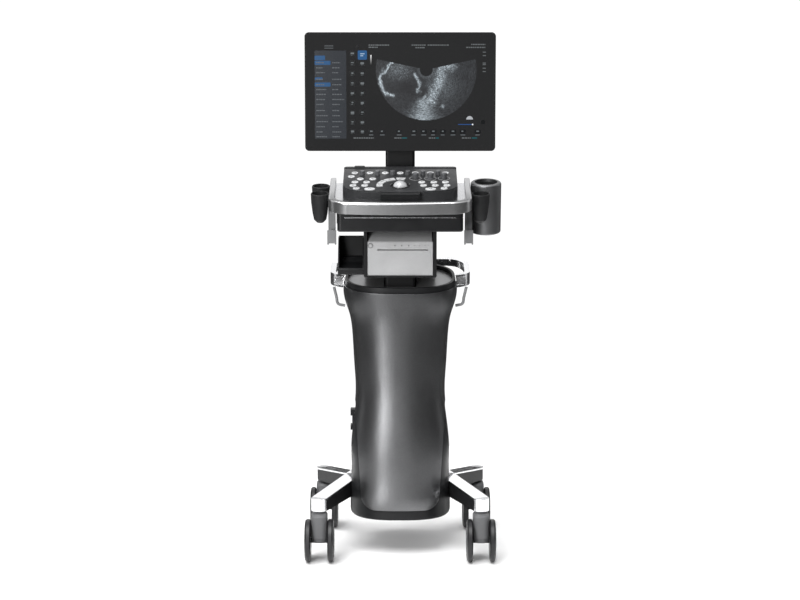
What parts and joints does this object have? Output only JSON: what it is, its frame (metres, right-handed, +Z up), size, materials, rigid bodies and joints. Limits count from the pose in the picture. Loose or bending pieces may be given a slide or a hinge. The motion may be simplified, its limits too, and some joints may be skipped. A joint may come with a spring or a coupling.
{
  "type": "ultrasound machine",
  "caption": "Cart-based ultrasound machine: monitor on a tilting neck, sloping console with trackball, push ring, probe cups, gel warmer, printer bay, column and caster base.",
  "frame": {"origin": "on the floor, midway between the wheels, under the middle of the base", "axes": "+Z up, -Y towards the operator, +X to the operator's right"},
  "size_m": [0.463, 0.42, 1.2285],
  "materials": {
    "shell_dark": "semi-gloss black moulded plastic",
    "cover_grey": "fine textured metallic dark grey paint",
    "black_plastic": "fine grained black plastic",
    "black_metal": "black powder coat",
    "polished": "polished",
    "satin_silver": "satin, finely brushed",
    "caster_grey": "grey moulded nylon",
    "tread_black": "black polyurethane",
    "tray_grey": "satin grey paint",
    "printer_silver": "silver-grey plastic",
    "hook_grey": "grey nylon",
    "holder_grey": "dark grey soft plastic",
    "warmer_grey": "brushed grey aluminium",
    "steel": "bright steel",
    "panel_black": "satin black console panel",
    "key_white": "pale back-lit silicone",
    "knob_grey": "dark grey with a fine grip",
    "ball_pearl": "pearl grey polished resin",
    "glass_black": "black-edged gloss glass",
    "display": "liquid-crystal panel",
    "electronics": "plain grey housing"
  },
  "bodies": {
    "base": {"chassis": "black_metal", "base_skirt": "black_plastic", "rear_shell": "shell_dark", "front_cover": "cover_grey", "column_rim": "black_plastic", "top_tray": "tray_grey", "cord_wrap_hook": "black_plastic", "power_inlet": "black_plastic", "power_supply": "electronics", "loop_handle": "polished", "cord_hooks": "hook_grey", "lift_tube": "black_metal", "gas_spring_cylinder": "steel", "leg_trims": "polished", "leg_front_left": "black_metal", "leg_front_right": "black_metal", "leg_rear_left": "black_metal", "leg_rear_right": "black_metal"},
    "lift": {"lift_post": "black_metal", "gas_spring_rod": "steel", "printer_cradle": "black_metal", "printer": "printer_silver", "accessory_bin": "black_plastic", "engine_box": "shell_dark", "probe_ports": "black_plastic", "push_ring": "satin_silver", "deck_plate": "satin_silver", "head_frame": "black_metal", "cable_hooks": "hook_grey", "probe_holder_left_front": "holder_grey", "probe_holder_left_rear": "holder_grey", "probe_holder_right": "holder_grey", "gel_warmer": "warmer_grey", "gel_liner": "holder_grey", "console_housing": "panel_black", "console_panel": "panel_black", "palm_rest": "black_plastic"},
    "printer_button": {"printer_power_button": "printer_silver"},
    "ball": {"trackball": "ball_pearl"},
    "soft_key_bank": {"soft_keys": "key_white"},
    "left_key_bank": {"left_keys": "key_white"},
    "right_key_bank": {"right_keys": "key_white"},
    "arc_key_bank": {"arc_keys": "key_white"},
    "soft_knob_bank": {"soft_knobs": "knob_grey"},
    "gain": {"gain_dial": "knob_grey"},
    "select": {"select_dial": "knob_grey"},
    "depth": {"depth_dial": "knob_grey"},
    "neck": {"monitor_neck": "black_metal"},
    "monitor": {"monitor_bracket": "black_metal", "monitor_shell": "shell_dark", "front_glass": "glass_black", "display_panel": "display"},
    "caster_front_left": {"caster_body_front_left": "caster_grey"},
    "wheels_front_left": {"caster_wheels_front_left": "tread_black"},
    "caster_front_right": {"caster_body_front_right": "caster_grey"},
    "wheels_front_right": {"caster_wheels_front_right": "tread_black"},
    "caster_rear_left": {"caster_body_rear_left": "caster_grey"},
    "wheels_rear_left": {"caster_wheels_rear_left": "tread_black"},
    "caster_rear_right": {"caster_body_rear_right": "caster_grey"},
    "wheels_rear_right": {"caster_wheels_rear_right": "tread_black"}
  },
  "joints": [
    {"name": "swivel_front_left", "type": "hinge", "parent": "base", "child": "caster_front_left", "pos_m": [-0.1895, -0.14, 0.118], "axis": [0, 0, 1], "continuous": true},
    {"name": "roll_front_left", "type": "hinge", "parent": "caster_front_left", "child": "wheels_front_left", "pos_m": [-0.1895, -0.16, 0.05], "axis": [1, 0, 0], "continuous": true},
    {"name": "swivel_front_right", "type": "hinge", "parent": "base", "child": "caster_front_right", "pos_m": [0.1895, -0.14, 0.118], "axis": [0, 0, 1], "continuous": true},
    {"name": "roll_front_right", "type": "hinge", "parent": "caster_front_right", "child": "wheels_front_right", "pos_m": [0.1895, -0.16, 0.05], "axis": [1, 0, 0], "continuous": true},
    {"name": "swivel_rear_left", "type": "hinge", "parent": "base", "child": "caster_rear_left", "pos_m": [-0.1895, 0.18, 0.118], "axis": [0, 0, 1], "continuous": true},
    {"name": "roll_rear_left", "type": "hinge", "parent": "caster_rear_left", "child": "wheels_rear_left", "pos_m": [-0.1895, 0.16, 0.05], "axis": [1, 0, 0], "continuous": true},
    {"name": "swivel_rear_right", "type": "hinge", "parent": "base", "child": "caster_rear_right", "pos_m": [0.1895, 0.18, 0.118], "axis": [0, 0, 1], "continuous": true},
    {"name": "roll_rear_right", "type": "hinge", "parent": "caster_rear_right", "child": "wheels_rear_right", "pos_m": [0.1895, 0.16, 0.05], "axis": [1, 0, 0], "continuous": true},
    {"name": "lift", "type": "slide", "parent": "base", "child": "lift", "axis": [0, 0, 1], "range_m": [0, 0.2]},
    {"name": "printer_power", "type": "slide", "parent": "lift", "child": "printer_button", "axis": [0, 1, 0], "range_m": [0, 0.0012], "stiffness_N_per_m": 300},
    {"name": "trackball_roll", "type": "hinge", "parent": "lift", "child": "ball", "pos_m": [0, -0.10578, 0.87305], "axis": [1, 0, 0], "continuous": true},
    {"name": "soft_key_press", "type": "slide", "parent": "lift", "child": "soft_key_bank", "axis": [0, 0.225, -0.9744], "range_m": [0, 0.0015], "stiffness_N_per_m": 500},
    {"name": "left_key_press", "type": "slide", "parent": "lift", "child": "left_key_bank", "axis": [0, 0.225, -0.9744], "range_m": [0, 0.0015], "stiffness_N_per_m": 500},
    {"name": "right_key_press", "type": "slide", "parent": "lift", "child": "right_key_bank", "axis": [0, 0.225, -0.9744], "range_m": [0, 0.0015], "stiffness_N_per_m": 500},
    {"name": "arc_key_press", "type": "slide", "parent": "lift", "child": "arc_key_bank", "axis": [0, 0.225, -0.9744], "range_m": [0, 0.0015], "stiffness_N_per_m": 500},
    {"name": "soft_knob_press", "type": "slide", "parent": "lift", "child": "soft_knob_bank", "axis": [0, 0.225, -0.9744], "range_m": [0, 0.0004], "stiffness_N_per_m": 500},
    {"name": "gain_turn", "type": "hinge", "parent": "lift", "child": "gain", "pos_m": [0.0355, -0.05684, 0.89667], "axis": [0, -0.225, 0.9744], "continuous": true},
    {"name": "select_turn", "type": "hinge", "parent": "lift", "child": "select", "pos_m": [0.0705, -0.05684, 0.89667], "axis": [0, -0.225, 0.9744], "continuous": true},
    {"name": "depth_turn", "type": "hinge", "parent": "lift", "child": "depth", "pos_m": [0.102, -0.05684, 0.89667], "axis": [0, -0.225, 0.9744], "continuous": true},
    {"name": "monitor_swivel", "type": "hinge", "parent": "lift", "child": "neck", "pos_m": [0, 0.078, 0.905], "axis": [0, 0, 1], "range_deg": [-60, 60]},
    {"name": "monitor_tilt", "type": "hinge", "parent": "neck", "child": "monitor", "pos_m": [0, 0.078, 1.06], "axis": [1, 0, 0], "range_deg": [-20, 8]}
  ]
}
